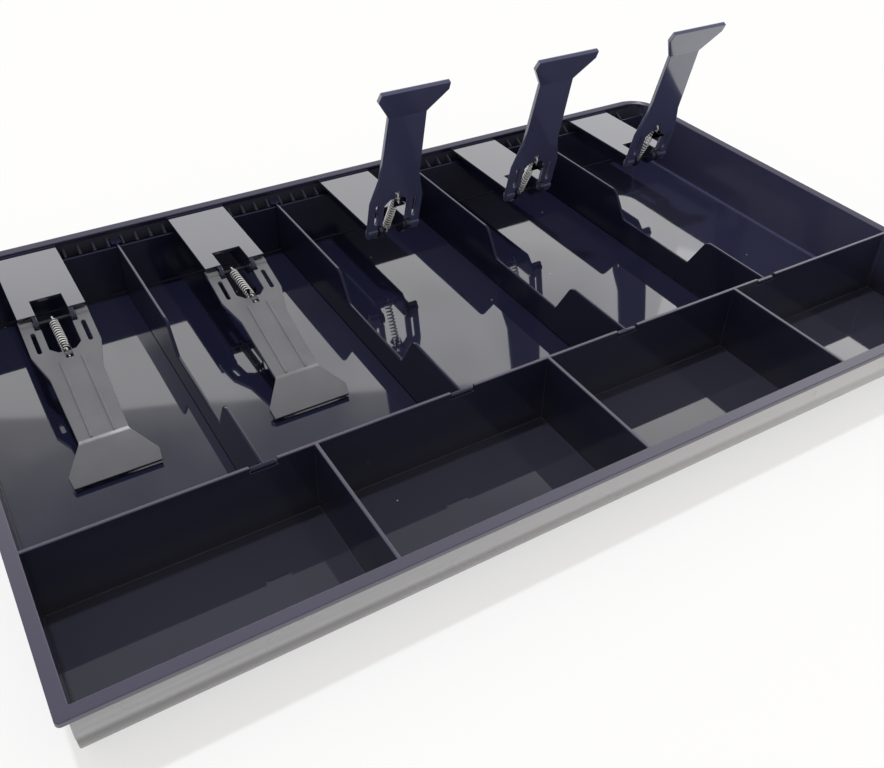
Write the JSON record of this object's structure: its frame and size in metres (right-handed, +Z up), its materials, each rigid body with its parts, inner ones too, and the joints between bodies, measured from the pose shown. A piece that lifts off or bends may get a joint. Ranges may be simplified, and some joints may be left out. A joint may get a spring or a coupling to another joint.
{
  "type": "cash drawer insert",
  "caption": "Shallow moulded cash tray with scooped coin cups at the front, lift-out bill dividers behind, and sprung bill clips that flip up on rear tongues.",
  "frame": {"origin": "the middle of the footprint, on the surface that the tray stands on", "axes": "+X to the right across the compartments, +Y to the rear where the clips are, +Z up"},
  "size_m": [0.399, 0.2434, 0.1027],
  "materials": {
    "tray_plastic": "moulded, glossy, very dark blue-black",
    "divider_plastic": "moulded, glossy, very dark blue-black",
    "clip_plastic": "fine texture on top, smooth below",
    "spring_steel": "bright drawn wire",
    "pin_steel": "plain drawn wire"
  },
  "bodies": {
    "tray": {"tray_body": "tray_plastic", "anchor_pin_1": "pin_steel", "anchor_pin_2": "pin_steel", "anchor_pin_3": "pin_steel", "anchor_pin_4": "pin_steel", "anchor_pin_5": "pin_steel"},
    "clip_1": {"bill_clip_1": "clip_plastic"},
    "spring_1": {"clip_spring_1": "spring_steel"},
    "clip_2": {"bill_clip_2": "clip_plastic"},
    "spring_2": {"clip_spring_2": "spring_steel"},
    "clip_3": {"bill_clip_3": "clip_plastic"},
    "spring_3": {"clip_spring_3": "spring_steel"},
    "clip_4": {"bill_clip_4": "clip_plastic"},
    "spring_4": {"clip_spring_4": "spring_steel"},
    "clip_5": {"bill_clip_5": "clip_plastic"},
    "spring_5": {"clip_spring_5": "spring_steel"},
    "divider_1": {"bill_divider_1": "divider_plastic"},
    "divider_2": {"bill_divider_2": "divider_plastic"},
    "divider_3": {"bill_divider_3": "divider_plastic"},
    "divider_4": {"bill_divider_4": "divider_plastic"}
  },
  "joints": [
    {"name": "clip_1_hinge", "type": "hinge", "parent": "tray", "child": "clip_1", "pos_m": [-0.156, 0.06525, 0.02685], "axis": [-1, 0, 0], "range_deg": [0, 91.26], "stiffness_Nm_per_rad": 0.02, "springref_deg": -34.38, "deforming": ["clip_spring_1"]},
    {"name": "spring_1_swing", "type": "hinge", "parent": "tray", "child": "spring_1", "pos_m": [-0.156, 0.07251, 0.02243], "axis": [-1, 0, 0], "range_deg": [0, 63.88], "deforming": ["clip_spring_1"]},
    {"name": "clip_2_hinge", "type": "hinge", "parent": "tray", "child": "clip_2", "pos_m": [-0.078, 0.06525, 0.02685], "axis": [-1, 0, 0], "range_deg": [0, 91.26], "stiffness_Nm_per_rad": 0.02, "springref_deg": -34.38, "deforming": ["clip_spring_2"]},
    {"name": "spring_2_swing", "type": "hinge", "parent": "tray", "child": "spring_2", "pos_m": [-0.078, 0.07251, 0.02243], "axis": [-1, 0, 0], "range_deg": [0, 63.88], "deforming": ["clip_spring_2"]},
    {"name": "clip_3_hinge", "type": "hinge", "parent": "tray", "child": "clip_3", "pos_m": [0, 0.06525, 0.02685], "axis": [-1, 0, 0], "range_deg": [-91.26, 0], "stiffness_Nm_per_rad": 0.02, "springref_deg": 34.38, "deforming": ["clip_spring_3"]},
    {"name": "spring_3_swing", "type": "hinge", "parent": "tray", "child": "spring_3", "pos_m": [0, 0.07251, 0.02243], "axis": [-1, 0, 0], "range_deg": [-63.88, 0], "deforming": ["clip_spring_3"]},
    {"name": "clip_4_hinge", "type": "hinge", "parent": "tray", "child": "clip_4", "pos_m": [0.078, 0.06525, 0.02685], "axis": [-1, 0, 0], "range_deg": [-91.26, 0], "stiffness_Nm_per_rad": 0.02, "springref_deg": 34.38, "deforming": ["clip_spring_4"]},
    {"name": "spring_4_swing", "type": "hinge", "parent": "tray", "child": "spring_4", "pos_m": [0.078, 0.07251, 0.02243], "axis": [-1, 0, 0], "range_deg": [-63.88, 0], "deforming": ["clip_spring_4"]},
    {"name": "clip_5_hinge", "type": "hinge", "parent": "tray", "child": "clip_5", "pos_m": [0.156, 0.06525, 0.02685], "axis": [-1, 0, 0], "range_deg": [-91.26, 0], "stiffness_Nm_per_rad": 0.02, "springref_deg": 34.38, "deforming": ["clip_spring_5"]},
    {"name": "spring_5_swing", "type": "hinge", "parent": "tray", "child": "spring_5", "pos_m": [0.156, 0.07251, 0.02243], "axis": [-1, 0, 0], "range_deg": [-63.88, 0], "deforming": ["clip_spring_5"]},
    {"name": "divider_1_lift", "type": "slide", "parent": "tray", "child": "divider_1", "axis": [0, 0, 1], "range_m": [0, 0.04]},
    {"name": "divider_2_lift", "type": "slide", "parent": "tray", "child": "divider_2", "axis": [0, 0, 1], "range_m": [0, 0.04]},
    {"name": "divider_3_lift", "type": "slide", "parent": "tray", "child": "divider_3", "axis": [0, 0, 1], "range_m": [0, 0.04]},
    {"name": "divider_4_lift", "type": "slide", "parent": "tray", "child": "divider_4", "axis": [0, 0, 1], "range_m": [0, 0.04]}
  ],
  "couplings": [
    {"joint": "spring_1_swing", "follows": "clip_1_hinge", "ratio": 0.69998},
    {"joint": "spring_2_swing", "follows": "clip_2_hinge", "ratio": 0.69998},
    {"joint": "spring_3_swing", "follows": "clip_3_hinge", "ratio": 0.69998},
    {"joint": "spring_4_swing", "follows": "clip_4_hinge", "ratio": 0.69998},
    {"joint": "spring_5_swing", "follows": "clip_5_hinge", "ratio": 0.69998}
  ]
}
